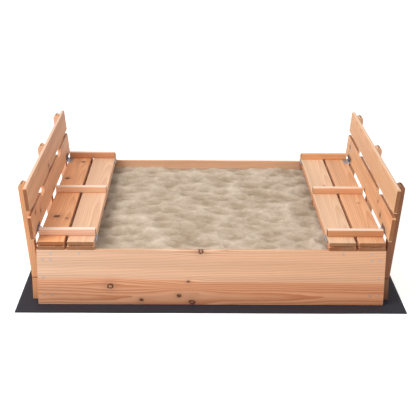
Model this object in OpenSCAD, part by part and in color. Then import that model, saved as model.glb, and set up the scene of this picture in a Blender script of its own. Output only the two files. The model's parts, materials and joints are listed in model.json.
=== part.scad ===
// Sandbox with a two-leaf cover that unfolds into a pair of facing benches.
// Frame: origin on the ground at the middle, +X to the right, +Y to the rear, +Z up.
// Drawn with both benches open. Each part is drawn for the right side; the left is its mirror image.

/* [Box] */
// Outside width, bench to bench
box_w = 1190; // [1100:10:1300]
// Outside depth, front wall to rear wall
box_d = 1120; // [1000:10:1300]
// Height of the walls
wall_h = 200; // [190:5:240]
// Thickness of the wall boards
wall_t = 15; // [14:1:20]
// Depth of sand in the box
sand_h = 164; // [80:2:168]

/* [Ground sheet] */
// How far the sheet shows beyond the walls
liner_margin = 72; // [40:1:100]
// Thickness of the woven sheet
liner_t = 1; // [0.5:0.5:2]

/* [Deck and seat slats] */
// Thickness of every slat
slat_t = 12; // [11:0.5:14]
// Width of a deck or seat slat
slat_w = 91.5; // [88:0.5:92]
// Gap between the two slats of a deck or seat
slat_gap = 10; // [8:1:12]
// Radius of the eased long edges
ease_r = 2.5; // [1.5:0.5:3]
// Radius of the eased corners of the battens
batten_ease_r = 3; // [1:0.5:4]

/* [Backrests] */
// Width of a backrest slat
back_slat_w = 87.5; // [80:0.5:90]
// Gap between the two backrest slats
back_gap = 14; // [8:1:20]
// Distance from the middle to the centre of a hand hold
hold_y = 252; // [200:2:300]
// Length of a hand hold
hold_w = 80; // [70:1:120]
// Depth of a hand hold below the slat's edge
hold_h = 18; // [12:1:34]
// Radius of a hand hold's lower corners
hold_corner_r = 11; // [6:1:12]
// Radius of a backrest slat's corners
slat_corner_r = 8; // [4:1:12]

/* [Battens] */
// Width of the batten stock
stock_w = 45; // [40:1:50]
// Thickness of the batten stock
stock_t = 25; // [20:1:26]
// Width of a seat batten
seat_batten_w = 26; // [22:1:30]
// Height of a seat batten
seat_batten_h = 24; // [20:1:24]
// Distance from a slat's end to the middle of the end batten
batten_inset = 72; // [66:1:80]
// Length of a backrest batten below its hinge
tail_len = 148; // [130:1:150]
// Height of the support blocks
block_h = 79; // [70:1:79]

/* [Hinges] */
// Length of a hinge between deck and seat
deck_hinge_len = 65; // [50:1:65]
// Distance from a slat's end to the middle of a deck hinge
deck_hinge_inset = 80; // [70:1:90]
// Length of a hinge between seat and backrest
back_hinge_len = 60; // [50:1:60]
// Distance from a slat's end to the middle of a backrest hinge
back_hinge_inset = 117; // [117:1:130]
// Width of a hinge leaf from the pin's axis
leaf_w = 22; // [18:1:26]
// Thickness of a hinge leaf
leaf_t = 1.2; // [1:0.1:1.4]

/* [Hidden] */
$fn = 48;
SIDES = ["left", "right"];
ENDS = ["front", "rear"];
ROWS = ["front", "middle", "rear"];

// colours
SAPWOOD = [0.90, 0.73, 0.59];
HEARTWOOD = [0.82, 0.60, 0.44];
BATTEN_WOOD = [0.86, 0.62, 0.42];
ZINC = [0.72, 0.74, 0.78];
SAND = [0.80, 0.73, 0.64];
SHEET = [0.22, 0.20, 0.22];

// box
half_w = box_w / 2;
half_d = box_d / 2;
wall_top = liner_t + wall_h;
inner_w = half_w - wall_t;
inner_d = half_d - wall_t;

// cover panels: the deck is fixed on the walls, the seat folds over onto it
panel_w = 2 * slat_w + slat_gap;
panel_edge = 2.5;                  // deck's outer edge in from the box's side
deck_x = half_w - panel_edge - panel_w;
deck_top = wall_top + slat_t;
fold_gap = 5;                      // between the deck and the folded seat
seat_bottom = deck_top + fold_gap;
seat_top = seat_bottom + slat_t;
closed_lift = 0.5;                 // closed seat's height above the walls
deck_axis_x = deck_x - 2;
deck_axis_z = (seat_bottom + deck_top + closed_lift) / 2;

// backrest hinge axis, and the backrest's own frame: n outwards from the axis, s up the backrest
back_axis_x = half_w - panel_edge + 4;
back_axis_z = seat_top + 2.5;
back_n = 3;                        // axis to the backrest's inner face
back_s = 1;                        // axis to the lower slat's edge
batten_n = back_n + slat_t;        // axis to a batten's inner face
back_top = back_s + 2 * back_slat_w + back_gap;
rest_clearance = 0.5;              // batten's tip to the wall that it leans on
lean_reach = sqrt(tail_len * tail_len + batten_n * batten_n);
recline = atan2(batten_n, tail_len)
    + asin((back_axis_x - half_w - rest_clearance) / lean_reach);

// hinges
knuckle_r = 2.8;
pin_r = 1.5;
pin_play = 0.05;
knuckles = 5;
knuckle_gap = 0.3;
leaf_root = 3.4;                   // leaf's straight edge from the axis
deck_hinge_y = half_d - deck_hinge_inset;
back_hinge_y = half_d - back_hinge_inset;
hinge_screw_pitch = 36;

// screws
head_r = 3.8;
head_h = 2.4;
shank_r = 1.9;
leaf_head_r = 3.4;
leaf_hole_r = 2;

function batten_y(row) = row == "middle" ? 0 : (row == "front" ? -1 : 1) * (half_d - batten_inset);
function end_sign(end) = end == "front" ? -1 : 1;

// Everything is drawn for the right side and mirrored for the left.
module on_side(side) {
    if (side == "left") mirror([1, 0, 0]) children();
    else children();
}

// The backrest's frame: X is n, Z is s, tipped outwards by the recline.
module in_back_frame() {
    translate([back_axis_x, 0, back_axis_z]) rotate([0, recline, 0]) children();
}

// A rectangle with rounded corners, from the origin.
module eased_rect(w, h, r) {
    translate([r, 0]) square([w - 2 * r, h]);
    translate([0, r]) square([w, h - 2 * r]);
    for (x = [r, w - r], y = [r, h - r]) translate([x, y]) circle(r);
}

// A board along Y, centred on Y, w wide in X and t thick in Z, with eased long edges.
module board_y(w, t, len, r) {
    translate([0, len / 2, 0]) rotate([90, 0, 0]) linear_extrude(len) eased_rect(w, t, r);
}

// A board along X from the origin, w wide in Y and t thick in Z.
module board_x(len, w, t, r) {
    rotate([90, 0, 90]) linear_extrude(len) eased_rect(w, t, r);
}

// A countersunk wood screw with its head's face at the origin, pointing along -Z.
module screw(len, big = head_r) {
    tip = 5;
    rotate_extrude() polygon([
        [0, 0], [big, 0], [shank_r, -head_h], [shank_r, tip - len], [0, -len]
    ]);
}

// ---- box ----

module end_wall(end) {
    color(SAPWOOD)
    translate([-half_w, end_sign(end) * (half_d - wall_t / 2) - wall_t / 2, liner_t])
        board_x(box_w, wall_t, wall_h, ease_r / 2);
}

module side_wall(side) {
    color(HEARTWOOD)
    on_side(side)
        translate([inner_w, 0, liner_t]) board_y(wall_t, wall_h, 2 * inner_d, ease_r / 2);
}

module post(side, end) {
    y = end_sign(end) * (inner_d - stock_t / 2);
    color(BATTEN_WOOD)
    on_side(side)
        translate([inner_w - stock_w, y - stock_t / 2, liner_t])
            cube([stock_w, stock_t, wall_h - seat_batten_h]);
}

module deck_slat(side, k) {
    x = deck_x + (k == "outer" ? slat_w + slat_gap : 0);
    color(HEARTWOOD)
    on_side(side)
        translate([x, 0, wall_top]) board_y(slat_w, slat_t, box_d, ease_r);
}

// The end cleats lie against the end walls; the middle one meets the side wall.
module deck_cleat(side, row) {
    y = row == "middle" ? 0 : (row == "front" ? -1 : 1) * (inner_d - seat_batten_w / 2);
    color(BATTEN_WOOD)
    on_side(side)
        translate([deck_x, y - seat_batten_w / 2, wall_top - seat_batten_h])
            cube([inner_w - deck_x, seat_batten_w, seat_batten_h]);
}

module support_block(side, row) {
    color(HEARTWOOD)
    on_side(side)
        translate([half_w, batten_y(row) - stock_w / 2, liner_t])
            cube([stock_t, stock_w, block_h]);
}

module ground_liner() {
    color(SHEET)
    translate([-half_w - liner_margin, -half_d - liner_margin, 0])
        cube([box_w + 2 * liner_margin, box_d + 2 * liner_margin, liner_t]);
}

module sand_fill() {
    color(SAND)
    difference() {
        translate([-inner_w, -inner_d, liner_t]) cube([2 * inner_w, 2 * inner_d, sand_h]);
        for (x = [-1, 1], y = [-1, 1])
            translate([x * (inner_w - stock_w / 2), y * (inner_d - stock_t / 2), 0])
                cube([stock_w, stock_t, 2 * wall_h], center = true);
    }
}

// Screws through the walls into the posts and cleats, through the deck slats into the cleats,
// through the blocks into the side walls, and through the deck's hinge leaves.
module box_screws() {
    columns = [20, 47];            // from the wall's end
    cleat_columns = [48, 145];
    cleat_drop = 12;               // below the wall's top
    post_rows = [35, 164];
    middle_row = 100;
    side_rows = [60, 134];
    deck_screw_len = 30;
    wall_screw_len = 32;
    block_rows = [20, 64];
    leaf_screw_len = 11;
    color(ZINC)
    for (side = SIDES) on_side(side) {
        for (end = ENDS) {
            s = end_sign(end);
            spots = concat(
                [for (c = columns, d = post_rows) [c, d]],
                [[columns[0], middle_row]],
                [for (c = cleat_columns) [c, cleat_drop]]);
            for (p = spots)
                translate([half_w - p[0], s * half_d, wall_top - p[1]])
                    rotate([-s * 90, 0, 0]) screw(wall_screw_len);
            for (d = side_rows)
                translate([half_w, s * (inner_d - stock_t / 2), wall_top - d])
                    rotate([0, 90, 0]) screw(wall_screw_len);
            for (x = [deck_x + slat_w / 2, deck_x + 3 * slat_w / 2 + slat_gap])
                translate([x + 12, s * (inner_d - seat_batten_w / 2), deck_top]) screw(deck_screw_len);
            deck_leaf_screws(s, leaf_screw_len);
        }
        for (x = [deck_x + slat_w / 2, deck_x + 3 * slat_w / 2 + slat_gap])
            translate([x, 0, deck_top]) screw(deck_screw_len);
        translate([half_w, 0, wall_top - cleat_drop]) rotate([0, 90, 0]) screw(wall_screw_len);
        for (row = ROWS, z = block_rows)
            translate([half_w + stock_t, batten_y(row), liner_t + z]) rotate([0, 90, 0]) screw(wall_screw_len);
    }
}

// ---- hinges ----

// One leaf of a hinge with its axis on Y. The leaf runs along +X with its mounting face at
// z = -drop; parity picks its knuckles.
module hinge_leaf(len, drop, parity) {
    pitch = len / knuckles;
    difference() {
        union() {
            translate([leaf_root, -len / 2, -drop]) cube([leaf_w - leaf_root, len, leaf_t]);
            for (i = [0 : knuckles - 1]) if (i % 2 == parity) {
                y0 = -len / 2 + i * pitch + knuckle_gap / 2;
                translate([0, y0, -drop]) cube([leaf_root + 1, pitch - knuckle_gap, leaf_t]);
                translate([0, y0, 0]) rotate([-90, 0, 0]) cylinder(h = pitch - knuckle_gap, r = knuckle_r);
            }
        }
        rotate([90, 0, 0]) cylinder(h = len + 2, r = pin_r + pin_play, center = true);
        for (y = [-1, 1] * hinge_screw_pitch / 2)
            translate([leaf_w * 0.6, y, -drop - 0.01])
                cylinder(h = leaf_t + 0.02, r1 = leaf_hole_r, r2 = leaf_head_r);
    }
}

// The screws of that leaf, in the same frame.
module leaf_screws(drop, len) {
    for (y = [-1, 1] * hinge_screw_pitch / 2)
        translate([leaf_w * 0.6, y, 0]) rotate_extrude() polygon([
            [0, leaf_t - drop], [leaf_head_r, leaf_t - drop], [leaf_hole_r, -drop],
            [shank_r, -drop - 0.5], [shank_r, -drop - len + 4], [0, -drop - len]
        ]);
}

module hinge_pin(len) {
    rotate([90, 0, 0]) cylinder(h = len, r = pin_r, center = true);
    for (e = [-1, 1])
        translate([0, e * (len / 2 + 0.75), 0]) rotate([90, 0, 0]) cylinder(h = 1.5, r = knuckle_r, center = true);
}

// Places a child drawn about the deck hinge's axis, at the front (-1) or rear (1) hinge.
module at_deck_hinge(s) {
    translate([deck_axis_x, s * deck_hinge_y, deck_axis_z]) children();
}

module at_back_hinge(s) {
    translate([back_axis_x, s * back_hinge_y, back_axis_z]) children();
}

module deck_leaf_screws(s, len) {
    at_deck_hinge(s) leaf_screws(deck_axis_z - deck_top, len);
}

module deck_hinge_leaves(side) {
    color(ZINC)
    on_side(side)
        for (s = [-1, 1]) at_deck_hinge(s) hinge_leaf(deck_hinge_len, deck_axis_z - deck_top, 0);
}

module deck_hinge_pins() {
    color(ZINC)
    for (side = SIDES) on_side(side)
        for (s = [-1, 1]) at_deck_hinge(s) hinge_pin(deck_hinge_len);
}

// The seat's leaves: one pair under the seat on the deck hinges, one pair on top at the backrest.
module seat_hinge_leaves(side) {
    color(ZINC)
    on_side(side)
        for (s = [-1, 1]) {
            at_deck_hinge(s) mirror([0, 0, 1]) hinge_leaf(deck_hinge_len, seat_bottom - deck_axis_z, 1);
            at_back_hinge(s) mirror([1, 0, 0]) hinge_leaf(back_hinge_len, back_axis_z - seat_top, 0);
        }
}

module back_hinge_pins(side) {
    color(ZINC)
    on_side(side)
        for (s = [-1, 1]) at_back_hinge(s) hinge_pin(back_hinge_len);
}

// In the backrest's frame the leaf runs up the inner face.
module back_hinge_leaves(side) {
    color(ZINC)
    on_side(side)
        in_back_frame()
            for (s = [-1, 1])
                translate([0, s * back_hinge_y, 0])
                    rotate([0, -90, 0]) hinge_leaf(back_hinge_len, back_n, 1);
}

// ---- seat ----

module seat_slat(side, k) {
    x = deck_x + (k == "outer" ? slat_w + slat_gap : 0);
    color(SAPWOOD)
    on_side(side)
        translate([x, 0, seat_bottom]) board_y(slat_w, slat_t, box_d, ease_r);
}

module seat_batten(side, row) {
    color(BATTEN_WOOD)
    on_side(side)
        translate([deck_x, batten_y(row) - seat_batten_w / 2, seat_top])
            board_x(panel_w, seat_batten_w, seat_batten_h, batten_ease_r);
}

module seat_screws(side) {
    screw_len = 30;
    leaf_screw_len = 11;
    color(ZINC)
    on_side(side) {
        for (row = ROWS, x0 = [deck_x, deck_x + slat_w + slat_gap], f = [0.38, 0.78])
            translate([x0 + f * slat_w, batten_y(row), seat_bottom]) rotate([180, 0, 0]) screw(screw_len);
        for (s = [-1, 1]) {
            at_deck_hinge(s) mirror([0, 0, 1]) leaf_screws(seat_bottom - deck_axis_z, leaf_screw_len);
            at_back_hinge(s) mirror([1, 0, 0]) leaf_screws(back_axis_z - seat_top, leaf_screw_len);
        }
    }
}

// ---- backrest ----

// A hand hold's outline in Y and s: a slot with round lower corners, open at the slat's upper edge.
module hold_outline() {
    floor_s = back_s + back_slat_w - hold_h;
    flat = hold_w - 2 * hold_corner_r;
    translate([-hold_w / 2, floor_s + hold_corner_r]) square([hold_w, hold_h]);
    translate([-flat / 2, floor_s]) square([flat, hold_h]);
    for (y = [-1, 1]) translate([y * flat / 2, floor_s + hold_corner_r]) circle(hold_corner_r);
}

// A backrest slat's outline in Y and s, with its corners cut round.
module back_slat_outline(k, s0) {
    difference() {
        translate([-box_d / 2, s0]) eased_rect(box_d, back_slat_w, slat_corner_r);
        if (k == "lower") for (y = [-1, 1] * hold_y) translate([y, 0]) hold_outline();
    }
}

module back_slat(side, k) {
    s0 = back_s + (k == "upper" ? back_slat_w + back_gap : 0);
    color(SAPWOOD)
    on_side(side) in_back_frame()
        intersection() {
            translate([back_n, 0, s0]) board_y(slat_t, back_slat_w, box_d, ease_r);
            translate([back_n - 1, 0, 0]) rotate([90, 0, 90]) linear_extrude(slat_t + 2)
                back_slat_outline(k, s0);
        }
}

// A batten runs from below the hinge, where it leans on the wall, to a head level with
// the upper slat's edge, rounded from face to face.
module back_batten(side, row) {
    r = stock_t / 2;
    color(BATTEN_WOOD)
    on_side(side) in_back_frame()
        translate([batten_n + r, batten_y(row), 0])
            rotate([90, 0, 0]) linear_extrude(stock_w, center = true) {
                translate([-r, -tail_len]) square([stock_t, back_top - r + tail_len]);
                translate([0, back_top - r]) circle(r);
            }
}

module back_screws(side) {
    screw_len = 34;
    leaf_screw_len = 11;
    color(ZINC)
    on_side(side) in_back_frame() {
        for (row = ROWS, s0 = [back_s, back_s + back_slat_w + back_gap], f = [0.25, 0.7])
            translate([batten_n + stock_t, batten_y(row), s0 + f * back_slat_w])
                rotate([0, 90, 0]) screw(screw_len);
        for (s = [-1, 1])
            translate([0, s * back_hinge_y, 0]) rotate([0, -90, 0]) leaf_screws(back_n, leaf_screw_len);
    }
}

// ---- nodes ----

end_wall("front");  // front_wall
end_wall("rear");  // rear_wall
ground_liner();
sand_fill();
box_screws();
deck_hinge_pins();
for (s = SIDES) {
    side_wall(s);
    deck_hinge_leaves(s);
    seat_hinge_leaves(s);
    seat_screws(s);
    back_hinge_pins(s);
    back_hinge_leaves(s);
    back_screws(s);
}
for (s = SIDES, e = ENDS)
    post(s, e);
for (s = SIDES, k = ["inner", "outer"]) {
    deck_slat(s, k);
    seat_slat(s, k);
}
for (s = SIDES, k = ["lower", "upper"])
    back_slat(s, k);
for (s = SIDES, r = ROWS) {
    deck_cleat(s, r);
    support_block(s, r);
    seat_batten(s, r);
    back_batten(s, r);
}
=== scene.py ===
"""Finishes a wooden sandbox whose cover unfolds into two facing benches.

The packed frame gives every size and place. Boards and hinges keep their frame shapes and get
their wood and zinc here. Screws, ground sheet and sand are made in detail in place of plain ones.
"""

import json
import math
import random

import bmesh
import bpy
import numpy as np
from bpy.props import FloatProperty, FloatVectorProperty, IntProperty, PointerProperty
from mathutils import Matrix, Vector

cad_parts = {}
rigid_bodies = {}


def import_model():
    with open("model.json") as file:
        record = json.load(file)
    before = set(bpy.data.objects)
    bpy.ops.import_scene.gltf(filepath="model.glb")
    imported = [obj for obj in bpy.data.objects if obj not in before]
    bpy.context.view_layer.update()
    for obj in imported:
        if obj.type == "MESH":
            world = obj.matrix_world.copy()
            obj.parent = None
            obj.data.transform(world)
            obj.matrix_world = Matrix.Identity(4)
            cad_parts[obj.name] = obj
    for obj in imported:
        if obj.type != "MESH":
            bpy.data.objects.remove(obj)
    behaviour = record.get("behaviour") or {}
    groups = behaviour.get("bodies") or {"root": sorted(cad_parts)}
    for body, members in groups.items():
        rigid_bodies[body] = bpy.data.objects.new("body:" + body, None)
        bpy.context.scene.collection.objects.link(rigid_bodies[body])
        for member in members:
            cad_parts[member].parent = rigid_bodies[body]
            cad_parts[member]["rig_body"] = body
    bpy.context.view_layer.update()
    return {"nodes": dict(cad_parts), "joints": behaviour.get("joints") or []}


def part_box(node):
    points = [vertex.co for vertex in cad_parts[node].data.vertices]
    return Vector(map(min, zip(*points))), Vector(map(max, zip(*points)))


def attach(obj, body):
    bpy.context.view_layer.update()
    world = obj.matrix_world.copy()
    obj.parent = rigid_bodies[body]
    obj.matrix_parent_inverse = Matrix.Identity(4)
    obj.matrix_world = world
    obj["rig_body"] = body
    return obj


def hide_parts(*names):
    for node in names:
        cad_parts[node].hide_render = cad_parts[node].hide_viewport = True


bl_info = {
    "name": "Folding-bench sandbox",
    "version": (1, 0, 0),
    "blender": (4, 5, 0),
    "location": "View3D > Sidebar > Sandbox",
    "description": "Finishes a wooden sandbox whose cover unfolds into two benches",
    "category": "Add Mesh",
}

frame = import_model()

NODES = frame["nodes"]
OPENING = {joint["name"]: joint["range_deg"][1] for joint in frame["joints"]}
RECLINE = math.radians(90 - OPENING["right_back_fold"])


# ---- colours ----


def linear(red, green, blue):
    """A colour given as 0 to 255 screen values, in the linear values that shaders take."""
    return tuple(((v / 255 + 0.055) / 1.055) ** 2.4 for v in (red, green, blue))


# ---- settings ----


def colour_setting(name, description, screen):
    """A colour that a user may change, from its usual screen values."""
    return FloatVectorProperty(
        name=name, description=description, subtype="COLOR", size=3, min=0, max=1,
        default=linear(*screen),
    )


def length_setting(name, description, default, low, high):
    """A length that a user may change, in metres."""
    return FloatProperty(
        name=name, description=description, unit="LENGTH", default=default, min=low, max=high,
        precision=4,
    )


class TimberSettings(bpy.types.PropertyGroup):
    """Colours and growth of the sawn softwood."""

    sapwood: colour_setting("Sapwood", "Outer, paler wood of the log", (233, 190, 156))
    heartwood: colour_setting("Heartwood", "Inner, redder wood of the log", (224, 161, 121))
    latewood: colour_setting("Latewood tint", "Tint of the dense part of a ring", (222, 190, 165))
    knotwood: colour_setting("Knots", "Wood of a branch", (104, 60, 38))
    bark: colour_setting("Knot rims", "Bark round a branch", (58, 32, 22))
    # Painted sheen: upper faces are mixed towards this whitish colour, which stands in for the light
    # that they reflect.
    bleached: colour_setting("Bleached wood", "Upper faces paled by light", (250, 230, 212))
    # Painted shade: the top edges of the lower backrest slats, down in the gaps, are mixed towards
    # this dark colour, which stands in for the shadow under the upper slats.
    gap_shade: colour_setting("Gap shade", "Darkened edges in the gaps of the backrests", (140, 88, 56))
    end_grain: colour_setting("End grain tint", "Tint of sawn ends", (166, 143, 120))
    ring_spacing: length_setting("Ring spacing", "Growth in one year", 0.0046, 0.001, 0.02)
    # Painted highlight, partly sanded wear: edges this wide are lightened.
    arris: length_setting("Lit sanded edge", "Width of a sanded edge", 0.0022, 0.0, 0.01)
    ring_contrast: FloatProperty(
        name="Ring contrast", description="How strongly the rings show", subtype="FACTOR",
        default=0.62, min=0, max=1,
    )


class FixingSettings(bpy.types.PropertyGroup):
    """Plating and drive of the screws and hinges."""

    zinc: colour_setting("Zinc", "Plating of screws and hinges", (196, 202, 214))
    dull_zinc: colour_setting("Dull zinc", "Plating of the backrest hinges", (112, 116, 134))
    recess_width: length_setting("Recess width", "Width of a cross's slots", 0.0011, 0.0003, 0.003)
    recess_depth: length_setting("Recess depth", "Depth of a cross recess", 0.0012, 0.0003, 0.003)
    crown: length_setting("Head crown", "Rise of a screw head's face", 0.0003, 0.0, 0.001)
    spin_seed: IntProperty(name="Spin seed", description="Draw of each screw's turn", default=7)


class SheetSettings(bpy.types.PropertyGroup):
    """The woven sheet under the box."""

    tape: colour_setting("Tape", "Woven tape", (43, 42, 51))
    tape_width: length_setting("Tape width", "Pitch of the weave", 0.0028, 0.001, 0.01)
    thickness: length_setting("Thickness", "Thickness of the sheet", 0.0007, 0.0003, 0.001)
    crease: length_setting("Crease height", "Rise of the soft creases", 0.0012, 0.0, 0.004)
    cell: length_setting("Cell", "Spacing of the sheet's points", 0.011, 0.005, 0.05)


class SandSettings(bpy.types.PropertyGroup):
    """The trodden play sand."""

    # Painted light and shade: crests of the trodden surface take the pale colour and hollows the
    # dark one.
    pale: colour_setting("Pale grains", "Dry sand on crests", (238, 220, 198))
    dark: colour_setting("Dark grains", "Sand in hollows", (176, 154, 128))
    hollow_length: length_setting("Hollow length", "Distance between hollows", 0.07, 0.02, 0.3)
    hollow_depth: length_setting("Hollow depth", "Depth of the hollows", 0.016, 0.0, 0.03)
    cell: length_setting("Cell", "Spacing of the surface's points", 0.0055, 0.003, 0.03)


class StageSettings(bpy.types.PropertyGroup):
    """Floor, light and camera."""

    floor: colour_setting("Floor", "Plain pale floor", (250, 250, 250))
    ambient: FloatProperty(name="Ambient light", description="Light from all round", default=0.7,
                           min=0)
    key: FloatProperty(name="Key light", description="Power of the soft lamp, high at the left",
                       default=225, min=0, unit="POWER")
    glow: FloatProperty(name="Floor glow", description="How much the floor shines to the camera",
                        default=0.5, min=0)
    lens: FloatProperty(name="Lens", description="Focal length", unit="CAMERA", default=94, min=10)
    camera_place: FloatVectorProperty(name="Camera place", description="Where the camera stands",
                                      subtype="TRANSLATION", unit="LENGTH", size=3,
                                      default=(-0.063, -4.048, 1.517))
    pan: FloatProperty(name="Pan", description="Camera's turn to the left", subtype="ANGLE",
                       unit="ROTATION", default=math.radians(-0.917))
    tilt: FloatProperty(name="Tilt", description="Camera's tilt downwards", subtype="ANGLE",
                        unit="ROTATION", default=math.radians(18.55))
    roll: FloatProperty(name="Roll", description="Camera's roll", subtype="ANGLE",
                        unit="ROTATION", default=math.radians(0.573))


SETTINGS = {
    "sandbox_timber": TimberSettings,
    "sandbox_fixings": FixingSettings,
    "sandbox_sheet": SheetSettings,
    "sandbox_sand": SandSettings,
    "sandbox_stage": StageSettings,
}


# ---- node trees ----


class Tree:
    """Short ways to add and join nodes in one shader or geometry tree."""

    def __init__(self, tree):
        self.tree = tree

    def add(self, kind, inputs=None, **settings):
        """A node with its properties set and its inputs fed by name or place."""
        node = self.tree.nodes.new(kind)
        for key, value in settings.items():
            setattr(node, key, value)
        for key, value in (inputs or {}).items():
            self.feed(node.inputs[key], value)
        return node

    def feed(self, socket, value):
        """Joins a socket to another, or sets its value."""
        if isinstance(value, bpy.types.NodeSocket):
            self.tree.links.new(value, socket)
        elif isinstance(value, (tuple, Vector)) and len(value) == 3 and socket.type == "RGBA":
            socket.default_value = (*value, 1)
        else:
            socket.default_value = value

    def math(self, operation, *values, clamp=False):
        """One step of arithmetic."""
        return self.add("ShaderNodeMath", dict(enumerate(values)), operation=operation,
                        use_clamp=clamp).outputs[0]

    def times(self, *values):
        """Values multiplied together."""
        total = values[0]
        for value in values[1:]:
            total = self.math("MULTIPLY", total, value)
        return total

    def fade(self, value):
        """A bell that is 1 where value is 0 and falls away beyond 1."""
        return self.math("EXPONENT", self.times(value, value, -1.0))

    def vector(self, operation, *values, scale=None):
        """One step of vector arithmetic."""
        node = self.add("ShaderNodeVectorMath", dict(enumerate(values)), operation=operation)
        if scale is not None:
            self.feed(node.inputs["Scale"], scale)
        return node.outputs["Value" if operation in ("LENGTH", "DOT_PRODUCT") else "Vector"]

    def step(self, value, low, high, out_low=0.0, out_high=1.0):
        """A smooth change from out_low to out_high as value goes from low to high."""
        node = self.add(
            "ShaderNodeMapRange", {0: value, 1: low, 2: high, 3: out_low, 4: out_high},
            interpolation_type="SMOOTHSTEP",
        )
        return node.outputs[0]

    def noise(self, vector, scale=1.0, detail=2.0, roughness=0.5):
        """Fractal noise from 0 to 1."""
        node = self.add(
            "ShaderNodeTexNoise",
            {"Vector": vector, "Scale": scale, "Detail": detail, "Roughness": roughness},
        )
        return node.outputs[0]

    def stretched(self, vector, factors):
        """A vector scaled by a different factor on each axis."""
        return self.vector("MULTIPLY", vector, factors)

    def relief(self, shader, height, strength, distance):
        """Bumps a shader's surface by a height."""
        bump = self.add("ShaderNodeBump",
                        {"Strength": strength, "Distance": distance, "Height": height})
        self.feed(shader.inputs["Normal"], bump.outputs[0])

    def finish(self, made, geometry, material):
        """Ends a geometry tree in real meshes with their material."""
        real = self.add("GeometryNodeRealizeInstances", {"Geometry": geometry}).outputs[0]
        self.feed(made["Geometry"], self.add(
            "GeometryNodeSetMaterial", {"Geometry": real, "Material": material}).outputs[0])

    def group(self, label, build, inputs):
        """A shared node group with its inputs fed by name."""
        return self.add("ShaderNodeGroup", inputs, node_tree=shared(label, build))

    def blend(self, factor, first, second, kind="MIX"):
        """Two colours mixed."""
        node = self.add("ShaderNodeMix", {0: factor, 6: first, 7: second}, data_type="RGBA",
                        blend_type=kind)
        return node.outputs[2]

    def parts(self, vector):
        """A vector's three numbers."""
        return self.add("ShaderNodeSeparateXYZ", {0: vector}).outputs

    def join(self, x=0.0, y=0.0, z=0.0):
        """A vector of three numbers."""
        return self.add("ShaderNodeCombineXYZ", {0: x, 1: y, 2: z}).outputs[0]


def new_group(name, kind, inputs, outputs):
    """An empty node group, its inputs and its end. A socket is given as its sort and its label."""
    group = bpy.data.node_groups.new(name, kind)
    for sockets, way in ((inputs, "INPUT"), (outputs, "OUTPUT")):
        for socket in sockets.split(", "):
            sort, label = socket.replace("colour ", "color ", 1).split(" ", 1)
            group.interface.new_socket(label, in_out=way, socket_type="NodeSocket" + sort.title())
    tree = Tree(group)
    return tree, tree.add("NodeGroupInput").outputs, tree.add("NodeGroupOutput").inputs


def shared(name, build):
    """The node group of that name, built the first time that it is asked for."""
    if name not in bpy.data.node_groups:
        build(name)
    return bpy.data.node_groups[name]


def build_knot(name):
    """Turns the grain round one branch and marks its wood and its bark."""
    stain_reach, stain_depth, rim_at = 2.4, 0.3, 0.85
    grain_reach, grain_push = 3.0, -0.8
    tree, given, made = new_group(
        name, "ShaderNodeTree",
        "vector Vector, float Knots, float Bark, vector Centre, float Radius, float Core",
        "vector Vector, float Knots, float Bark",
    )
    away = tree.vector("SUBTRACT", given["Vector"], given["Centre"])
    rough = tree.noise(given["Vector"], 90.0, 2.0)
    uneven = tree.math("MULTIPLY_ADD", rough, 1.0, 0.5)
    near = tree.vector("LENGTH", tree.stretched(away, (0.85, 1.0, 0.0)))
    distance = tree.math("DIVIDE", tree.times(near, uneven), given["Radius"])
    shell = tree.math("MAXIMUM", tree.step(distance, 0.1, 0.8), given["Core"])
    wood = tree.times(tree.step(distance, 1.1, 0.8), shell)
    stain = tree.fade(tree.math("DIVIDE", near, tree.times(given["Radius"], stain_reach)))
    wood = tree.math("MAXIMUM", wood, tree.times(stain, stain_depth))
    off_rim = tree.math("ABSOLUTE", tree.math("SUBTRACT", distance, rim_at))
    rim = tree.step(off_rim, 0.34, 0.05)
    wide = tree.vector("LENGTH", tree.stretched(away, (0.22, 1.0, 0.0)))
    flow = tree.fade(tree.math("DIVIDE", wide, tree.times(given["Radius"], grain_reach)))
    push = tree.times(tree.parts(away)[1], tree.times(flow, grain_push))
    tree.feed(made["Vector"], tree.vector("ADD", given["Vector"], tree.join(y=push)))
    tree.feed(made["Knots"], tree.math("MAXIMUM", given["Knots"], wood))
    tree.feed(made["Bark"], tree.math("MAXIMUM", given["Bark"], rim))


def build_lit_sanded_edges(name):
    """Marks a board's edges for their painted highlight and wear: 1 on an edge, 0 further in than
    the width.
    """
    tree, given, made = new_group(
        name, "ShaderNodeTree",
        "vector Vector, vector Half Size, float Width",
        "float Edge, float End",
    )
    inside = tree.vector("SUBTRACT", given["Half Size"], tree.vector("ABSOLUTE", given["Vector"]))
    x, y, z = tree.parts(inside)
    low, high = tree.math("MINIMUM", x, y), tree.math("MAXIMUM", x, y)
    second = tree.math("MAXIMUM", low, tree.math("MINIMUM", high, z))
    uneven = tree.math("MULTIPLY_ADD", tree.noise(given["Vector"], 60.0, 3.0), 1.6, 0.2)
    tree.feed(made["Edge"], tree.step(second, tree.times(given["Width"], uneven), 0.0))
    tree.feed(made["End"], tree.step(x, 0.0006, 0.0002))


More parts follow.
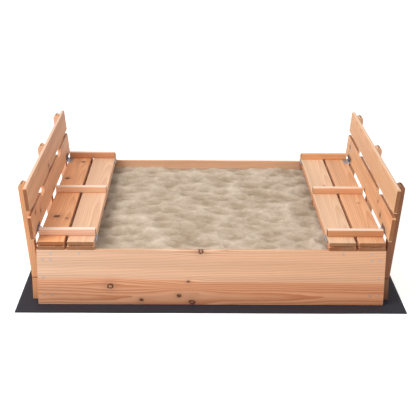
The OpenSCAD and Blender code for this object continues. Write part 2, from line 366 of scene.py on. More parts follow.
def build_growth(name):
    """The rings, heart, streaks and fibres of a log, at a place with X along the trunk."""
    tree, given, made = new_group(
        name, "ShaderNodeTree",
        "vector Vector, vector Shift, vector Pith, float Taper, float Ring Spacing, "
        "float Heart Radius, float Heart Blur, float Waver",
        "float Ring, float Heart, float Streak, float Fibre",
    )
    place = tree.vector("ADD", given["Vector"], given["Shift"])
    slow = tree.noise(tree.stretched(place, (1.4, 7.0, 7.0)))
    quick = tree.noise(tree.stretched(place, (6.0, 30.0, 30.0)))
    from_pith = tree.vector("SUBTRACT", given["Vector"], given["Pith"])
    radius = tree.vector("LENGTH", tree.stretched(from_pith, (0.0, 1.0, 1.0)))
    radius = tree.math("MULTIPLY_ADD", tree.parts(from_pith)[0], given["Taper"], radius)
    slow, quick = tree.math("SUBTRACT", slow, 0.5), tree.math("SUBTRACT", quick, 0.5)
    bend = tree.math("MULTIPLY_ADD", quick, 0.3, slow)
    radius = tree.math("MULTIPLY_ADD", bend, given["Waver"], radius)
    year = tree.math("FRACT", tree.math("DIVIDE", radius, given["Ring Spacing"]))
    dense = tree.times(tree.step(year, 0.15, 0.85), tree.step(year, 1.0, 0.92))
    inner = tree.math("SUBTRACT", radius, given["Heart Radius"])
    heart = tree.step(tree.math("DIVIDE", inner, given["Heart Blur"]), 1.0, -1.0)
    tree.feed(made["Ring"], dense)
    tree.feed(made["Heart"], heart)
    tree.feed(made["Streak"], tree.noise(tree.stretched(place, (1.1, 48.0, 48.0)), detail=4.0))
    tree.feed(made["Fibre"], tree.noise(tree.stretched(place, (16.0, 700.0, 700.0)), detail=2.0))


def build_softwood(name):
    """Colour, roughness and height of a sawn softwood board."""
    tree, given, made = new_group(
        name, "ShaderNodeTree",
        "vector Vector, vector Bent Vector, float Knots, float Bark, vector Half Size, "
        "vector Shift, vector Pith, float Taper, float Ring Spacing, float Heart Radius, "
        "float Heart Blur, float Waver, float Contrast, float Arris, colour Sapwood, "
        "colour Heartwood, colour Latewood, colour Knotwood, colour Rim, colour End Grain, "
        "colour Bleached, vector Upper Face, float Bleach, colour Start Tint, "
        "colour End Tint, float Tone",
        "colour Color, float Roughness, float Height",
    )
    passed = ("Shift", "Pith", "Taper", "Ring Spacing", "Heart Radius", "Heart Blur", "Waver")
    growth = tree.group("Growth", build_growth, {
        "Vector": given["Bent Vector"], **{label: given[label] for label in passed},
    })
    edges = tree.group("Lit Sanded Edges", build_lit_sanded_edges, {
        "Vector": given["Vector"], "Half Size": given["Half Size"], "Width": given["Arris"],
    })
    ring, heart, streak, fibre = (growth.outputs[n] for n in ("Ring", "Heart", "Streak", "Fibre"))
    wood = tree.blend(heart, given["Sapwood"], given["Heartwood"])
    wood = tree.blend(tree.times(ring, given["Contrast"]), wood, given["Latewood"], "MULTIPLY")
    light = tree.math("MULTIPLY_ADD", streak, 0.55, tree.math("MULTIPLY_ADD", fibre, 0.16, 0.645))
    wood = tree.vector("SCALE", wood, scale=tree.times(light, given["Tone"]))
    # Start and end tints along the board: on the front wall a painted light gradient, paler at the
    # end nearer the lamp.
    half_length = tree.parts(given["Half Size"])[0]
    along = tree.math("DIVIDE", tree.parts(given["Vector"])[0], half_length)
    along = tree.math("MULTIPLY_ADD", along, 0.5, 0.5, clamp=True)
    end_to_end = tree.blend(along, given["Start Tint"], given["End Tint"])
    wood = tree.blend(1.0, wood, end_to_end, "MULTIPLY")
    wood = tree.blend(tree.times(given["Knots"], 0.9), wood, given["Knotwood"])
    wood = tree.blend(tree.times(given["Bark"], 0.85), wood, given["Rim"])
    # Painted top tone: the upper face is mixed towards it, a painted sheen on most boards and a
    # painted shade on the lower backrest slats.
    facing = tree.vector("DOT_PRODUCT", given["Vector"], given["Upper Face"])
    upper = tree.times(tree.step(facing, 0.96, 0.995), given["Bleach"])
    wood = tree.blend(upper, wood, given["Bleached"])
    # Painted highlight, partly sanded wear: the edges are lightened by a third.
    lit_and_worn = tree.vector("SCALE", wood, scale=1.35)
    wood = tree.blend(tree.times(edges.outputs["Edge"], 0.55), wood, lit_and_worn)
    wood = tree.blend(edges.outputs["End"], wood, given["End Grain"], "MULTIPLY")
    tree.feed(made["Color"], wood)
    rough = tree.math("MULTIPLY_ADD", fibre, 0.22, 0.5)
    tree.feed(made["Roughness"], tree.math("MULTIPLY_ADD", ring, -0.07, rough))
    relief = tree.math("MULTIPLY_ADD", ring, 0.35, tree.times(fibre, 0.6))
    tree.feed(made["Height"], tree.math("MULTIPLY_ADD", given["Bark"], -0.8, relief))


def build_plating(name):
    """Colour, roughness and height of zinc plating with spangle and fine scratches."""
    tree, given, made = new_group(
        name, "ShaderNodeTree",
        "vector Vector, colour Zinc, float Grain",
        "colour Color, float Roughness, float Height",
    )
    spangle = tree.add("ShaderNodeTexVoronoi", {"Vector": given["Vector"], "Scale": given["Grain"]})
    tint = tree.parts(spangle.outputs["Color"])[0]
    cloud = tree.noise(given["Vector"], 120.0, 3.0)
    scratch = tree.noise(tree.stretched(given["Vector"], (2400.0, 120.0, 900.0)), 1.0, 2.0)
    shade = tree.math("MULTIPLY_ADD", tint, 0.16, tree.math("MULTIPLY_ADD", cloud, 0.5, 0.67))
    tree.feed(made["Color"], tree.vector("SCALE", given["Zinc"], scale=shade))
    rough = tree.math("MULTIPLY_ADD", tint, 0.12, tree.math("MULTIPLY_ADD", cloud, 0.3, 0.2))
    tree.feed(made["Roughness"], rough)
    tree.feed(made["Height"], tree.math("MULTIPLY_ADD", scratch, 0.5, cloud))


def build_weave(name):
    """Height and shade of flat tapes woven over and under, with the pitch given."""
    tree, given, made = new_group(
        name, "ShaderNodeTree", "vector Vector, float Pitch",
        "float Height, float Shade",
    )
    x, y, _ = tree.parts(given["Vector"])
    along, across = (
        tree.math("SINE", tree.times(tree.math("DIVIDE", place, given["Pitch"]), math.pi))
        for place in (x, y)
    )
    warp, weft = tree.math("ABSOLUTE", along), tree.math("ABSOLUTE", across)
    top = tree.step(tree.times(along, across), -0.15, 0.15)
    height = tree.add("ShaderNodeMix", {0: top, 2: warp, 3: weft}).outputs[0]
    fine = tree.noise(tree.stretched(given["Vector"], (900.0, 60.0, 60.0)), 1.0, 2.0)
    tree.feed(made["Height"], height)
    tree.feed(made["Shade"], tree.math("MULTIPLY_ADD", fine, 0.35, tree.times(height, 0.5)))


def build_grit(name):
    """Colour, roughness and height of sand, with painted light on its crests and painted shade in
    its hollows.
    """
    tree, given, made = new_group(
        name, "ShaderNodeTree",
        "vector Vector, float Crest, colour Pale, colour Dark",
        "colour Color, float Roughness, float Height",
    )
    grains = tree.add("ShaderNodeTexVoronoi", {"Vector": given["Vector"], "Scale": 800.0})
    speck = tree.parts(grains.outputs["Color"])[0]
    clump = tree.noise(given["Vector"], 75.0, 6.0, 0.72)
    patch = tree.noise(given["Vector"], 7.0, 3.0)
    mixed = tree.math("MULTIPLY_ADD", clump, 0.8, tree.math("MULTIPLY_ADD", patch, 0.5, -0.42))
    # Painted light and shade: the crest height lifts crests towards the pale colour and leaves
    # hollows dark.
    mixed = tree.math("ADD", mixed, given["Crest"])
    pale = tree.math("MULTIPLY_ADD", speck, 0.3, mixed, clamp=True)
    tree.feed(made["Color"], tree.blend(pale, given["Dark"], given["Pale"]))
    tree.feed(made["Roughness"], tree.math("MULTIPLY_ADD", speck, 0.1, 0.86))
    tree.feed(made["Height"], tree.math("MULTIPLY_ADD", speck, 0.25, clump))


# ---- materials ----


def new_material(name):
    """An empty node material: its tree, its Principled shader and its object coordinates."""
    material = bpy.data.materials.new(name)
    material.use_nodes = True
    material.node_tree.nodes.clear()
    tree = Tree(material.node_tree)
    shader = tree.add("ShaderNodeBsdfPrincipled")
    tree.add("ShaderNodeOutputMaterial", {"Surface": shader.outputs[0]})
    return material, tree, shader, tree.add("ShaderNodeTexCoord").outputs["Object"]


def wear(tree, shader, group, strength, distance):
    """Feeds a finish group's colour, roughness and height to the shader."""
    tree.feed(shader.inputs["Base Color"], group.outputs["Color"])
    tree.feed(shader.inputs["Roughness"], group.outputs["Roughness"])
    tree.relief(shader, group.outputs["Height"], strength, distance)


def plated(name, grain, colour=None):
    """Zinc plating on screws, pins or hinge leaves."""
    fixings = bpy.context.scene.sandbox_fixings
    material, tree, shader, place = new_material(name)
    group = tree.group("Plating", build_plating, {
        "Vector": place, "Zinc": colour or tuple(fixings.zinc), "Grain": grain,
    })
    shader.inputs["Metallic"].default_value = 1.0
    wear(tree, shader, group, 0.2, 0.0002)
    return material


# ---- timber ----

# Knots that can be picked out: place and radius of the branch, in metres, and how dark its core is.
KNOTS = {
    "front_wall": (
        ((-0.347, -0.56, 0.069), 0.0092, 0.2), ((-0.241, -0.56, 0.019), 0.0055, 1.0),
        ((-0.111, -0.56, 0.035), 0.0065, 1.0), ((-0.067, -0.56, 0.015), 0.0095, 0.75),
        ((-0.079, -0.56, 0.087), 0.004, 0.8), ((-0.037, -0.56, 0.197), 0.0075, 0.6),
    ),
    "left_seat_outer_slat": (
        ((-0.569, 0.18, 0.23), 0.0085, 1.0), ((-0.556, -0.292, 0.23), 0.0105, 1.0),
        ((-0.524, -0.315, 0.23), 0.006, 0.6), ((-0.529, 0.419, 0.23), 0.007, 1.0),
    ),
    "left_seat_inner_slat": (((-0.506, 0.197, 0.23), 0.004, 0.6),),
    "right_seat_inner_slat": (((0.455, 0.10, 0.23), 0.0035, 0.5),),
    "right_seat_outer_slat": (((0.56, -0.12, 0.23), 0.0035, 0.5),),
    "left_back_lower_slat": (
        ((-0.606, -0.457, 0.300), 0.007, 1.0), ((-0.603, -0.355, 0.274), 0.0075, 1.0),
    ),
    "left_back_upper_slat": (((-0.614, -0.05, 0.350), 0.006, 1.0),),
    "right_back_lower_slat": (
        ((0.606, 0.47, 0.287), 0.008, 1.0), ((0.602, 0.40, 0.250), 0.0075, 1.0),
        ((0.602, -0.355, 0.262), 0.0085, 1.0), ((0.602, -0.28, 0.285), 0.006, 1.0),
    ),
}
# The log that a board was sawn from: pith across and behind the board's middle, the heart's radius
# and blur, and how far the rings waver, in metres; the trunk's taper; the board's tone and how
# strongly its rings show. Where a board differs: its tint; the tints at its start and end, which on
# the front wall are a painted light gradient, paler at the left end nearer the lamp; and how much
# painted top tone its upper face takes, a painted sheen on most boards and a painted shade on the
# lower backrest slats. A log that isn't named is drawn by the board's name.
PLAIN = dict(pith=(0.03, -0.05), heart=-0.1, blur=0.03, taper=0.02, tone=1.0, contrast=0.35)
LOGS = {
    # Painted light: the start and end tints make the front wall paler at its left end, nearer the
    # lamp.
    "front_wall": dict(pith=(-0.072, -0.030), heart=0.0705, blur=0.006, taper=0.008, tone=1.02,
                       contrast=0.8, waver=0.02, start=(1.03, 1.12, 1.22), end=(0.98, 0.91, 0.86)),
    "rear_wall": dict(pith=(-0.150, -0.040), heart=0.090, blur=0.02, taper=0.015, tone=1.0),
    "left_seat_inner_slat": PLAIN | dict(tint=(1.0, 1.0, 1.0)),
    "right_seat_inner_slat": PLAIN | dict(tint=(1.03, 1.08, 1.08)),
    "left_seat_outer_slat": PLAIN | dict(tint=(1.12, 0.88, 0.66), contrast=0.45),
    "right_seat_outer_slat": PLAIN | dict(tint=(0.97, 0.88, 0.76), contrast=0.45),
    "left_back_lower_slat": PLAIN | dict(heart=0.045, tint=(1.0, 0.90, 0.80), bleach=0.9),
    "left_back_upper_slat": PLAIN | dict(tint=(0.94, 0.80, 0.70), bleach=0.4),
    "right_back_lower_slat": PLAIN | dict(heart=0.04, tint=(0.98, 0.93, 0.80), bleach=0.9),
    "right_back_upper_slat": PLAIN | dict(tint=(0.98, 0.90, 0.77), bleach=0.4),
    "left_seat_front_batten": PLAIN | dict(tone=1.03, tint=(1.0, 1.01, 1.1), bleach=0.8),
    "left_seat_middle_batten": PLAIN | dict(tone=1.06, bleach=0.7),
    "left_seat_rear_batten": PLAIN | dict(tint=(0.80, 0.62, 0.50), bleach=0.45),
    "right_seat_front_batten": PLAIN | dict(tint=(0.75, 0.57, 0.41), bleach=0.8),
    "right_seat_middle_batten": PLAIN | dict(tint=(0.95, 0.84, 0.72), bleach=0.7),
    "right_seat_rear_batten": PLAIN | dict(tint=(1.0, 0.86, 0.66), bleach=0.4),
    "left_back_front_batten": PLAIN | dict(tint=(0.93, 0.80, 0.64)),
    # Painted shade: darkened to stand in for the shadow on the right bench's front end.
    "right_back_front_batten": PLAIN | dict(tint=(0.36, 0.25, 0.19)),
    "left_front_support_block": PLAIN | dict(tint=(0.90, 0.74, 0.58)),
    # Painted shade: darkened to stand in for the shadow on the right bench's front end.
    "right_front_support_block": PLAIN | dict(tint=(0.34, 0.26, 0.22)),
}


def board_frame(node):
    """A board's middle, half size and turn, with X along its grain and Z through its thickness."""
    points = np.array([v.co for v in NODES[node].data.vertices], float)
    lean = Matrix.Identity(3)
    if "_back_" in node:
        side = 1 if node.startswith("right") else -1
        lean = Matrix.Rotation(side * RECLINE, 3, "Y")
    local = points @ np.array(lean)
    low, high = local.min(0), local.max(0)
    order = np.argsort(low - high)
    along, across = (lean.col[i].normalized() for i in order[:2])
    turn = Matrix((along, across, along.cross(across))).transposed()
    return lean @ Vector((low + high) / 2), Vector((high - low)[order] / 2), turn


def knots_in(node, centre, half, turn, draw):
    """The board's own knots in its own frame: the named ones, or up to two drawn by its name."""
    if node in KNOTS:
        inwards = turn.transposed()
        return [(inwards @ (Vector(place) - centre), *kind) for place, *kind in KNOTS[node]]
    count = draw.choice((0, 1, 1, 2)) if half.x > 0.3 else 0
    return [
        (Vector((draw.uniform(-0.85, 0.85) * half.x, draw.uniform(-0.8, 0.8) * half.y, 0)),
         draw.uniform(0.0035, 0.007), 1.0)
        for _ in range(count)
    ]


def softwood(node):
    """The board's own softwood: its log, its knots and its place in the log."""
    timber = bpy.context.scene.sandbox_timber
    draw = random.Random(node)
    centre, half, turn = board_frame(node)
    knots = knots_in(node, centre, half, turn, draw)
    log = LOGS.get(node) or dict(
        pith=(draw.uniform(-1.6, 1.6) * half.y, -draw.uniform(0.02, 0.08)),
        heart=draw.uniform(-0.02, 0.09), blur=draw.uniform(0.006, 0.02),
        taper=draw.choice((-1, 1)) * draw.uniform(0.012, 0.035), tone=draw.uniform(0.92, 1.05),
    )
    shift = Vector((draw.uniform(-9, 9), draw.uniform(-9, 9), draw.uniform(-9, 9)))
    tint = Vector(log.get("tint", (1, 1, 1)))
    upwards = turn.transposed() @ Vector((0, 0, 1))
    material, tree, shader, place = new_material("softwood_" + node)
    board = tree.add(
        "ShaderNodeMapping",
        {"Vector": place, "Location": centre, "Rotation": turn.to_euler()},
        vector_type="TEXTURE",
    ).outputs[0]
    bent, wood, bark = board, 0.0, 0.0
    for spot, radius, core in knots:
        bent, wood, bark = tree.group("Knot", build_knot, {
            "Vector": bent, "Knots": wood, "Bark": bark, "Centre": spot, "Radius": radius,
            "Core": core,
        }).outputs
    group = tree.group("Softwood", build_softwood, {
        "Vector": board, "Bent Vector": bent, "Knots": wood, "Bark": bark,
        "Half Size": half, "Shift": shift, "Pith": Vector((0, *log["pith"])),
        "Taper": log["taper"], "Ring Spacing": timber.ring_spacing * draw.uniform(0.8, 1.3),
        "Heart Radius": log["heart"], "Heart Blur": log["blur"],
        "Waver": log.get("waver", 0.014),
        "Contrast": log.get("contrast", timber.ring_contrast),
        "Arris": timber.arris, "Tone": log["tone"],
        "Sapwood": Vector(timber.sapwood) * tint, "Heartwood": Vector(timber.heartwood) * tint,
        "Latewood": tuple(timber.latewood), "Knotwood": tuple(timber.knotwood),
        "Rim": tuple(timber.bark), "End Grain": tuple(timber.end_grain),
        # Painted shade on the lower backrest slats' top edges; painted sheen on the other boards'
        # upper faces.
        "Bleached": tuple(timber.gap_shade if "_back_lower" in node else timber.bleached),
        "Bleach": log.get("bleach", 0.0),
        "Start Tint": log.get("start", (1, 1, 1)), "End Tint": log.get("end", (1, 1, 1)),
        "Upper Face": upwards / max(half.dot(Vector(map(abs, upwards))), 0.001),
    })
    shader.inputs["Specular IOR Level"].default_value = 0.35
    wear(tree, shader, group, 0.35, 0.0006)
    return material


def cover(node, material):
    """Gives a frame node its finish."""
    for place in NODES[node].material_slots:
        place.material = material


def clad(*endings):
    """Gives each board whose name ends so its own softwood."""
    boards = sorted(node for node in NODES if node.endswith(endings))
    if not boards:
        raise RuntimeError(f"the frame has no {' or '.join(endings)}")
    for node in boards:
        cover(node, softwood(node))
    return {"FINISHED"}


# ---- meshes ----


def new_piece(name, mesh, body, slot, *stands_for):
    """A finished piece that rides on a body and stands for frame nodes."""
    piece = bpy.data.objects.new(name, mesh)
    bpy.context.scene.collection.objects.link(piece)
    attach(piece, body)
    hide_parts(*stands_for)
    return piece


def grown(name, source, group, values):
    """The mesh that a geometry tree makes of a source mesh, with the tree's inputs set by name."""
    holder = bpy.data.objects.new(name, source)
    bpy.context.scene.collection.objects.link(holder)
    modifier = holder.modifiers.new(name, "NODES")
    modifier.node_group = group
    for item in group.interface.items_tree:
        if item.in_out == "INPUT" and item.name in values:
            modifier[item.identifier] = values[item.name]
    evaluated = holder.evaluated_get(bpy.context.evaluated_depsgraph_get())
    mesh = bpy.data.meshes.new_from_object(evaluated)
    holder.modifiers.remove(modifier)
    bpy.data.objects.remove(holder)
    bpy.data.meshes.remove(source)
    mesh.name = name
    return mesh


def islands(node):
    """The separate solids of a frame node, each as an array of its points."""
    work = bmesh.new()
    work.from_mesh(NODES[node].data)
    bmesh.ops.remove_doubles(work, verts=work.verts, dist=1e-6)
    left = set(work.verts)
    found = []
    while left:
        queue = [left.pop()]
        solid = list(queue)
        while queue:
            for edge in queue.pop().link_edges:
                for vert in edge.verts:
                    if vert in left:
                        left.remove(vert)
                        queue.append(vert)
                        solid.append(vert)
        found.append(np.array([v.co for v in solid], float))
    work.free()
    return sorted(found, key=lambda points: tuple(points.mean(0).round(4)))


def screw_place(points):
    """Where a screw's head is, which way it faces, and the screw's length."""
    middle = points.mean(0)
    axis = np.linalg.eigh(np.cov((points - middle).T))[1][:, 2]
    reach = (points - middle) @ axis
    spread = np.linalg.norm((points - middle) - np.outer(reach, axis), axis=1)
    if reach[spread.argmax()] < 0:
        axis, reach = -axis, -reach
    return middle + axis * reach.max(), axis, reach.max() - reach.min(), spread.max()


def build_screws(name):
    """Countersunk cross-recess screws, one on each point, facing along its outwards attribute."""
    tree, given, made = new_group(
        name, "GeometryNodeTree",
        "geometry Geometry, float Head Radius, float Head Depth, float Shank Radius, "
        "float Length, float Tip, float Crown, float Recess Width, float Recess Depth, "
        "int Seed, material Metal",
        "geometry Geometry",
    )

    def cone(sides, top, bottom, depth, base):
        shape = tree.add("GeometryNodeMeshCone", {
            "Vertices": sides, "Radius Top": top, "Radius Bottom": bottom, "Depth": depth,
        }).outputs[0]
        return tree.add("GeometryNodeTransform",
                        {"Geometry": shape, "Translation": tree.join(z=base)}).outputs[0]

    head_sides, stem_sides = 20, 10
    lap = 0.0001  # each part runs this far into the next, in metres
    radius, depth, shank = (given[n] for n in ("Head Radius", "Head Depth", "Shank Radius"))
    neck = tree.times(shank, 0.97)
    straight = tree.math("SUBTRACT", given["Length"], tree.math("ADD", given["Tip"], depth))
    head = cone(head_sides, radius, shank, depth, tree.times(depth, -1.0))
    crown = cone(head_sides, tree.times(radius, 0.72), tree.times(radius, 0.94),
                 tree.math("ADD", given["Crown"], lap), -lap)
    below = tree.times(tree.math("ADD", depth, straight), -1.0)
    stem = cone(stem_sides, neck, neck, tree.math("ADD", straight, lap), below)
    point = cone(stem_sides, tree.times(neck, 0.99), 0.0, tree.math("ADD", given["Tip"], lap),
                 tree.math("SUBTRACT", lap, given["Length"]))
    solid = tree.add("GeometryNodeMeshBoolean", operation="UNION", solver="EXACT")
    for part in (head, crown, stem, point):
        tree.feed(solid.inputs[1], part)
    recess = tree.add("GeometryNodeMeshBoolean", {"Mesh 1": solid.outputs[0]},
                      operation="DIFFERENCE", solver="EXACT")
    span, narrow = tree.times(radius, 1.15), given["Recess Width"]
    deep = tree.times(tree.math("ADD", given["Recess Depth"], given["Crown"]), 2.0)
    for size in (tree.join(span, narrow, deep), tree.join(narrow, span, deep)):
        slot = tree.add("GeometryNodeMeshCube", {"Size": size}).outputs[0]
        raised = tree.add("GeometryNodeTransform",
                          {"Geometry": slot, "Translation": tree.join(z=given["Crown"])}).outputs[0]
        tree.feed(recess.inputs[1], raised)
    outwards = tree.add("GeometryNodeInputNamedAttribute", {"Name": "outwards"},
                        data_type="FLOAT_VECTOR").outputs[0]
    facing = tree.add("FunctionNodeAlignRotationToVector", {"Vector": outwards},
                      axis="Z").outputs[0]
    spin = tree.add("FunctionNodeRandomValue", {2: 0.0, 3: math.pi / 2, "Seed": given["Seed"]},
                    data_type="FLOAT").outputs[1]
    turned = tree.add("FunctionNodeRotateRotation", {
        "Rotation": facing,
        "Rotate By": tree.add("FunctionNodeAxisAngleToRotation", {"Angle": spin}).outputs[0],
    }, rotation_space="LOCAL").outputs[0]
    placed = tree.add("GeometryNodeInstanceOnPoints", {
        "Points": given["Geometry"], "Instance": recess.outputs[0], "Rotation": turned,
    }).outputs[0]
    tree.finish(made, placed, given["Metal"])


def build_trodden_sand(name):
    """A closed block of sand whose top has hollows and crests, with the crests marked for its
    painted light and shade.
    """
    bank, most_lift = 0.6, 0.009  # rise to the rear, in hollow depths; highest crest, in metres
    tree, given, made = new_group(
        name, "GeometryNodeTree",
        "geometry Geometry, vector Size, vector Middle, float Cell, float Hollow Length, "
        "float Hollow Depth, material Sand",
        "geometry Geometry",
    )
    wide, deep, _ = tree.parts(given["Size"])
    block = tree.add("GeometryNodeMeshCube", {
        "Size": given["Size"],
        "Vertices X": tree.math("CEIL", tree.math("DIVIDE", wide, given["Cell"])),
        "Vertices Y": tree.math("CEIL", tree.math("DIVIDE", deep, given["Cell"])),
        "Vertices Z": 2,
    }).outputs[0]
    spot = tree.add("GeometryNodeInputPosition").outputs[0]
    x, y, z = tree.parts(spot)
    steps = tree.math("DIVIDE", 1.0, given["Hollow Length"])
    flat = tree.vector("SCALE", tree.join(x, y), scale=steps)
    warp = tree.add("ShaderNodeTexNoise", {"Vector": flat, "Scale": 0.9, "Detail": 2.0}).outputs[1]
    swept = tree.vector("ADD", flat, tree.vector("SCALE", warp, scale=0.9))
    cells = tree.add("ShaderNodeTexVoronoi", {"Vector": swept, "Scale": 1.0, "Smoothness": 0.35},
                     feature="SMOOTH_F1").outputs["Distance"]
    lumps = tree.noise(swept, 2.4, 4.0, 0.55)
    dunes = tree.noise(flat, 0.45, 2.0)
    lumps = tree.math("MULTIPLY_ADD", lumps, 0.8, -0.85)
    crest = tree.math("ADD", tree.times(cells, 0.9), lumps)
    crest = tree.math("MULTIPLY_ADD", tree.math("SUBTRACT", dunes, 0.5), 0.8, crest)
    marked = tree.add("GeometryNodeStoreNamedAttribute", {
        "Geometry": block, "Name": "crest", "Value": crest,
    }, data_type="FLOAT", domain="POINT").outputs[0]
    top = tree.add("FunctionNodeCompare", {0: z, 1: 0.0}, data_type="FLOAT",
                   operation="GREATER_THAN").outputs[0]
    banked = tree.math("MULTIPLY_ADD", tree.math("DIVIDE", y, deep), bank, crest)
    lift = tree.math("MINIMUM", tree.times(banked, given["Hollow Depth"]), most_lift)
    shaped = tree.add("GeometryNodeSetPosition", {
        "Geometry": marked, "Selection": top, "Offset": tree.join(z=lift),
    }).outputs[0]
    moved = tree.add("GeometryNodeTransform",
                     {"Geometry": shaped, "Translation": given["Middle"]}).outputs[0]
    smooth = tree.add("GeometryNodeSetShadeSmooth", {"Geometry": moved, "Selection": top})
    tree.finish(made, smooth.outputs[0], given["Sand"])


# ---- operators ----


class Finishing:
    """What every operator here shares."""

    bl_options = {"REGISTER", "UNDO"}


class SANDBOX_OT_walls(Finishing, bpy.types.Operator):
    """Give the four wall boards their wood, with the front board's knots and heartwood"""

    bl_idname = "sandbox.walls"
    bl_label = "Wall boards"

    def execute(self, context):
        return clad("_wall")


class SANDBOX_OT_framing(Finishing, bpy.types.Operator):
    """Give the posts, deck cleats and support blocks their wood"""

    bl_idname = "sandbox.framing"
    bl_label = "Posts, cleats and blocks"

    def execute(self, context):
        return clad("_post", "_cleat", "_block")


class SANDBOX_OT_slats(Finishing, bpy.types.Operator):
    """Give the deck, seat and backrest slats their wood"""

    bl_idname = "sandbox.slats"
    bl_label = "Slats"

    def execute(self, context):
        return clad("_slat")


class SANDBOX_OT_battens(Finishing, bpy.types.Operator):
    """Give the seat and backrest battens their wood"""

    bl_idname = "sandbox.battens"
    bl_label = "Battens"

    def execute(self, context):
        return clad("_batten")


class SANDBOX_OT_hinges(Finishing, bpy.types.Operator):
    """Plate the hinge leaves and their pins"""

    bl_idname = "sandbox.hinges"
    bl_label = "Hinges"

    def execute(self, context):
        fixings = context.scene.sandbox_fixings
        leaf, pin = plated("zinc_leaf", 160.0), plated("zinc_pin", 500.0)
        dull = plated("dull_leaf", 220.0, tuple(fixings.dull_zinc))
        for node in sorted(n for n in NODES if "_hinge_" in n):
            plate = dull if "_back_" in node else leaf
            cover(node, pin if node.endswith("_pins") else plate)
        return {"FINISHED"}


class SANDBOX_OT_screws(Finishing, bpy.types.Operator):
    """Make the countersunk cross-recess screws of the box, the seats and the backrests"""

    bl_idname = "sandbox.screws"
    bl_label = "Screws"
    hinge_screw_length = 0.02
    """Metres: hinge screws are shorter, and have a shallower head and recess than wood screws."""
    shank_share, tip_share = 0.5, 0.16
    """A shank's radius by its head's, and a tip by the screw's length."""

    def execute(self, context):
        fixings = context.scene.sandbox_fixings
        metal = plated("zinc_screw", 700.0)
        for node in sorted(n for n in NODES if n.endswith("_screws")):
            places = [screw_place(points) for points in islands(node)]
            joined = bmesh.new()
            for long, head_share, recess_share in ((True, 0.63, 1.0), (False, 0.35, 0.6)):
                kind = [p for p in places if (p[2] > self.hinge_screw_length) == long]
                if not kind:
                    raise RuntimeError(f"{node} has no {'long' if long else 'short'} screws")
                heads, axes, lengths, radii = zip(*kind)
                source = bpy.data.meshes.new(node)
                source.from_pydata(heads, [], [])
                outwards = source.attributes.new("outwards", "FLOAT_VECTOR", "POINT")
                outwards.data.foreach_set("vector", np.array(axes, np.float32).ravel())
                radius, length = radii[0], lengths[0]
                part = grown(node + "_part", source, shared("Countersunk Screws", build_screws), {
                    "Head Radius": radius, "Head Depth": radius * head_share,
                    "Shank Radius": radius * self.shank_share,
                    "Length": length, "Tip": length * self.tip_share,
                    "Crown": fixings.crown, "Recess Width": fixings.recess_width,
                    "Recess Depth": fixings.recess_depth * recess_share,
                    "Seed": fixings.spin_seed, "Metal": metal,
                })
                joined.from_mesh(part)
                bpy.data.meshes.remove(part)
            mesh = bpy.data.meshes.new("detailed_" + node)
            joined.to_mesh(mesh)
            joined.free()
            mesh.materials.append(metal)
            new_piece(mesh.name, mesh, NODES[node]["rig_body"], "screw_zinc", node)
        return {"FINISHED"}


class SANDBOX_OT_sheet(Finishing, bpy.types.Operator):
    """Lay the woven ground sheet under the box, with soft creases beyond the walls"""

    bl_idname = "sandbox.sheet"
    bl_label = "Ground sheet"

    def execute(self, context):
        sheet = context.scene.sandbox_sheet
        low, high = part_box("ground_liner")
        box_low, box_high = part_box("front_wall")
        half_box = Vector((box_high.x, -box_low.y))
        width, length = high.x - low.x, high.y - low.y
        columns, rows = (max(2, round(v / sheet.cell)) for v in (width, length))
        draw = random.Random("creases")
        waves = [(draw.uniform(-1, 1), draw.uniform(-1, 1), draw.uniform(0, 6)) for _ in range(7)]
        pinched, loose = 0.006, 0.05  # metres beyond the walls: flat so far, free after so much more
        ripple = 28  # radians of a wave for each metre

        def rise(x, y):
            beyond = max(abs(x) - half_box.x, abs(y) - half_box.y)
            free = min(max((beyond - pinched) / loose, 0), 1)
            swell = sum(math.sin(ripple * (a * x + b * y) + c) for a, b, c in waves) / 3
            return 0.5 * sheet.crease * free * free * (3 - 2 * free) * (1 + swell)

        work = bmesh.new()
        layers = []
        for lift in (0.0, sheet.thickness):
            layer = []
            for j in range(rows + 1):
                for i in range(columns + 1):
                    x, y = low.x + width * i / columns, low.y + length * j / rows
                    layer.append(work.verts.new((x, y, low.z + lift + max(0, rise(x, y)))))
            layers.append(layer)
        bottom, top = layers
        across = columns + 1
        for j in range(rows):
            for i in range(columns):
                a, b, c, d = (k + j * across for k in (i, i + 1, i + 1 + across, i + across))
                work.faces.new([top[k] for k in (a, b, c, d)])
                work.faces.new([bottom[k] for k in (d, c, b, a)])
        rim = list(range(across))
        rim += [across * j + columns for j in range(1, rows + 1)]
        rim += [across * rows + i for i in range(columns - 1, -1, -1)]
        rim += [across * j for j in range(rows - 1, 0, -1)]
        for here, there in zip(rim, rim[1:] + rim[:1]):
            work.faces.new((bottom[here], bottom[there], top[there], top[here]))
        mesh = bpy.data.meshes.new("woven_ground_sheet")
        work.to_mesh(mesh)
        work.free()
        mesh.shade_smooth()
        mesh.materials.append(self.woven_tape(sheet))
        piece = new_piece("woven_ground_sheet", mesh, "root", "ground_cloth", "ground_liner")
        return {"FINISHED"}

    def woven_tape(self, sheet):
        """Dull woven tape with a faint sheen."""
        material, tree, shader, place = new_material("woven_tape")
        weave = tree.group("Tape Weave", build_weave,
                           {"Vector": place, "Pitch": sheet.tape_width}).outputs
        cloud = tree.noise(place, 9.0, 3.0)
        dusty = tree.math("MULTIPLY_ADD", cloud, 0.3, 0.55)
        shade = tree.math("MULTIPLY_ADD", weave["Shade"], 0.5, dusty)
        tree.feed(shader.inputs["Base Color"],
                  tree.vector("SCALE", tuple(sheet.tape), scale=shade))
        tree.feed(shader.inputs["Roughness"], tree.math("MULTIPLY_ADD", cloud, 0.2, 0.62))
        shader.inputs["Specular IOR Level"].default_value = 0.3
        tree.relief(shader, weave["Height"], 0.5, 0.0003)
        return material


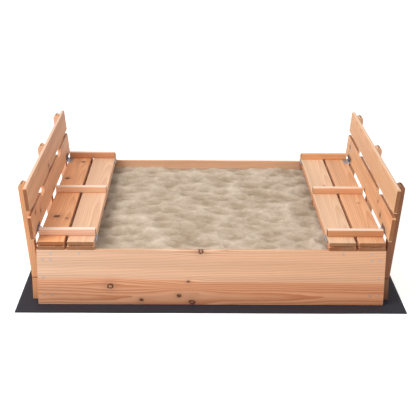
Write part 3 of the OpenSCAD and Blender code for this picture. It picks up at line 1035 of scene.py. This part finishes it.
class SANDBOX_OT_sand(Finishing, bpy.types.Operator):
    """Fill the box with trodden play sand"""

    bl_idname = "sandbox.sand"
    bl_label = "Sand"

    def execute(self, context):
        sand = context.scene.sandbox_sand
        material, tree, shader, place = new_material("play_sand")
        crest = tree.add("ShaderNodeAttribute", attribute_name="crest").outputs["Fac"]
        grit = tree.group("Grit", build_grit, {
            "Vector": place, "Crest": crest, "Pale": tuple(sand.pale), "Dark": tuple(sand.dark),
        })
        wear(tree, shader, grit, 0.8, 0.005)
        low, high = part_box("sand_fill")
        mesh = grown("trodden_sand", bpy.data.meshes.new("sand_source"),
                     shared("Trodden Sand", build_trodden_sand), {
                         "Size": high - low, "Middle": (high + low) / 2, "Cell": sand.cell,
                         "Hollow Length": sand.hollow_length, "Hollow Depth": sand.hollow_depth,
                         "Sand": material,
                     })
        new_piece("trodden_sand", mesh, "root", "play_sand", "sand_fill")
        return {"FINISHED"}


class SANDBOX_OT_stage(Finishing, bpy.types.Operator):
    """Set the plain pale floor, the soft studio light and the camera"""

    bl_idname = "sandbox.stage"
    bl_label = "Stage"

    def execute(self, context):
        stage = context.scene.sandbox_stage
        scene = context.scene
        reach, drop = 60.0, -0.0002
        mesh = bpy.data.meshes.new("studio_floor")
        corners = [(x * reach, y * reach, drop) for x, y in ((-1, -1), (1, -1), (1, 1), (-1, 1))]
        mesh.from_pydata(corners, [], [(0, 1, 2, 3)])
        material, tree, shader, place = new_material("studio_floor")
        tone = tree.math("MULTIPLY_ADD", tree.noise(place, 0.4, 2.0), 0.02, 0.98)
        colour = tree.vector("SCALE", tuple(stage.floor), scale=tone)
        tree.feed(shader.inputs["Base Color"], colour)
        shader.inputs["Roughness"].default_value = 0.9
        shader.inputs["Emission Color"].default_value = (1, 1, 1, 1)
        seen = tree.add("ShaderNodeLightPath").outputs["Is Camera Ray"]
        tree.feed(shader.inputs["Emission Strength"], tree.times(seen, stage.glow))
        mesh.materials.append(material)
        floor = bpy.data.objects.new("studio_floor", mesh)
        scene.collection.objects.link(floor)

        world = bpy.data.worlds.new("studio")
        world.use_nodes = True
        sky = world.node_tree.nodes["Background"]
        sky.inputs["Color"].default_value = (1.0, 1.0, 1.0, 1)
        sky.inputs["Strength"].default_value = stage.ambient
        scene.world = world
        self.lamp("key_lamp", Vector((-3.2, -2.2, 4.7)), 3.0, stage.key)

        lens = bpy.data.cameras.new("studio_camera")
        lens.lens = stage.lens
        lens.sensor_width = 36.0
        lens.clip_end = 200.0
        camera = bpy.data.objects.new("studio_camera", lens)
        turn = Matrix.Rotation(stage.pan, 4, "Z")
        turn @= Matrix.Rotation(math.pi / 2 - stage.tilt, 4, "X")
        turn @= Matrix.Rotation(stage.roll, 4, "Z")
        camera.matrix_world = Matrix.Translation(stage.camera_place) @ turn
        scene.collection.objects.link(camera)
        scene.camera = camera
        scene.view_settings.view_transform = "Standard"
        return {"FINISHED"}

    def lamp(self, name, place, size, power):
        """A square soft lamp that faces the middle of the box's top."""
        light = bpy.data.lights.new(name, "AREA")
        light.energy = power
        light.size = size
        lamp = bpy.data.objects.new(name, light)
        facing = (Vector((0, 0, 0.2)) - place).to_track_quat("-Z", "Y")
        lamp.matrix_world = Matrix.Translation(place) @ facing.to_matrix().to_4x4()
        bpy.context.scene.collection.objects.link(lamp)


STEPS = (
    SANDBOX_OT_stage, SANDBOX_OT_walls, SANDBOX_OT_framing, SANDBOX_OT_slats, SANDBOX_OT_battens,
    SANDBOX_OT_hinges, SANDBOX_OT_screws, SANDBOX_OT_sheet, SANDBOX_OT_sand,
)


class SANDBOX_PT_steps(bpy.types.Panel):
    """Lists the steps that finish the sandbox, with their settings"""

    bl_idname = "SANDBOX_PT_steps"
    bl_label = "Folding-bench sandbox"
    bl_space_type = "VIEW_3D"
    bl_region_type = "UI"
    bl_category = "Sandbox"

    def draw(self, context):
        for step in STEPS:
            self.layout.operator(step.bl_idname)
        for name, group in SETTINGS.items():
            box = self.layout.box()
            box.label(text=group.__doc__)
            for key in group.__annotations__:
                box.prop(getattr(context.scene, name), key)


CLASSES = (*SETTINGS.values(), *STEPS, SANDBOX_PT_steps)


def register():
    """Adds the classes and the scene's settings."""
    for cls in CLASSES:
        bpy.utils.register_class(cls)
    for name, group in SETTINGS.items():
        setattr(bpy.types.Scene, name, PointerProperty(type=group))


def unregister():
    """Takes the settings and classes away again."""
    for name in SETTINGS:
        delattr(bpy.types.Scene, name)
    for cls in reversed(CLASSES):
        bpy.utils.unregister_class(cls)


def main():
    """Builds everything in order."""
    register()
    for step in STEPS:
        group, name = step.bl_idname.split(".")
        getattr(getattr(bpy.ops, group), name)()


if __name__ == "__main__":
    main()
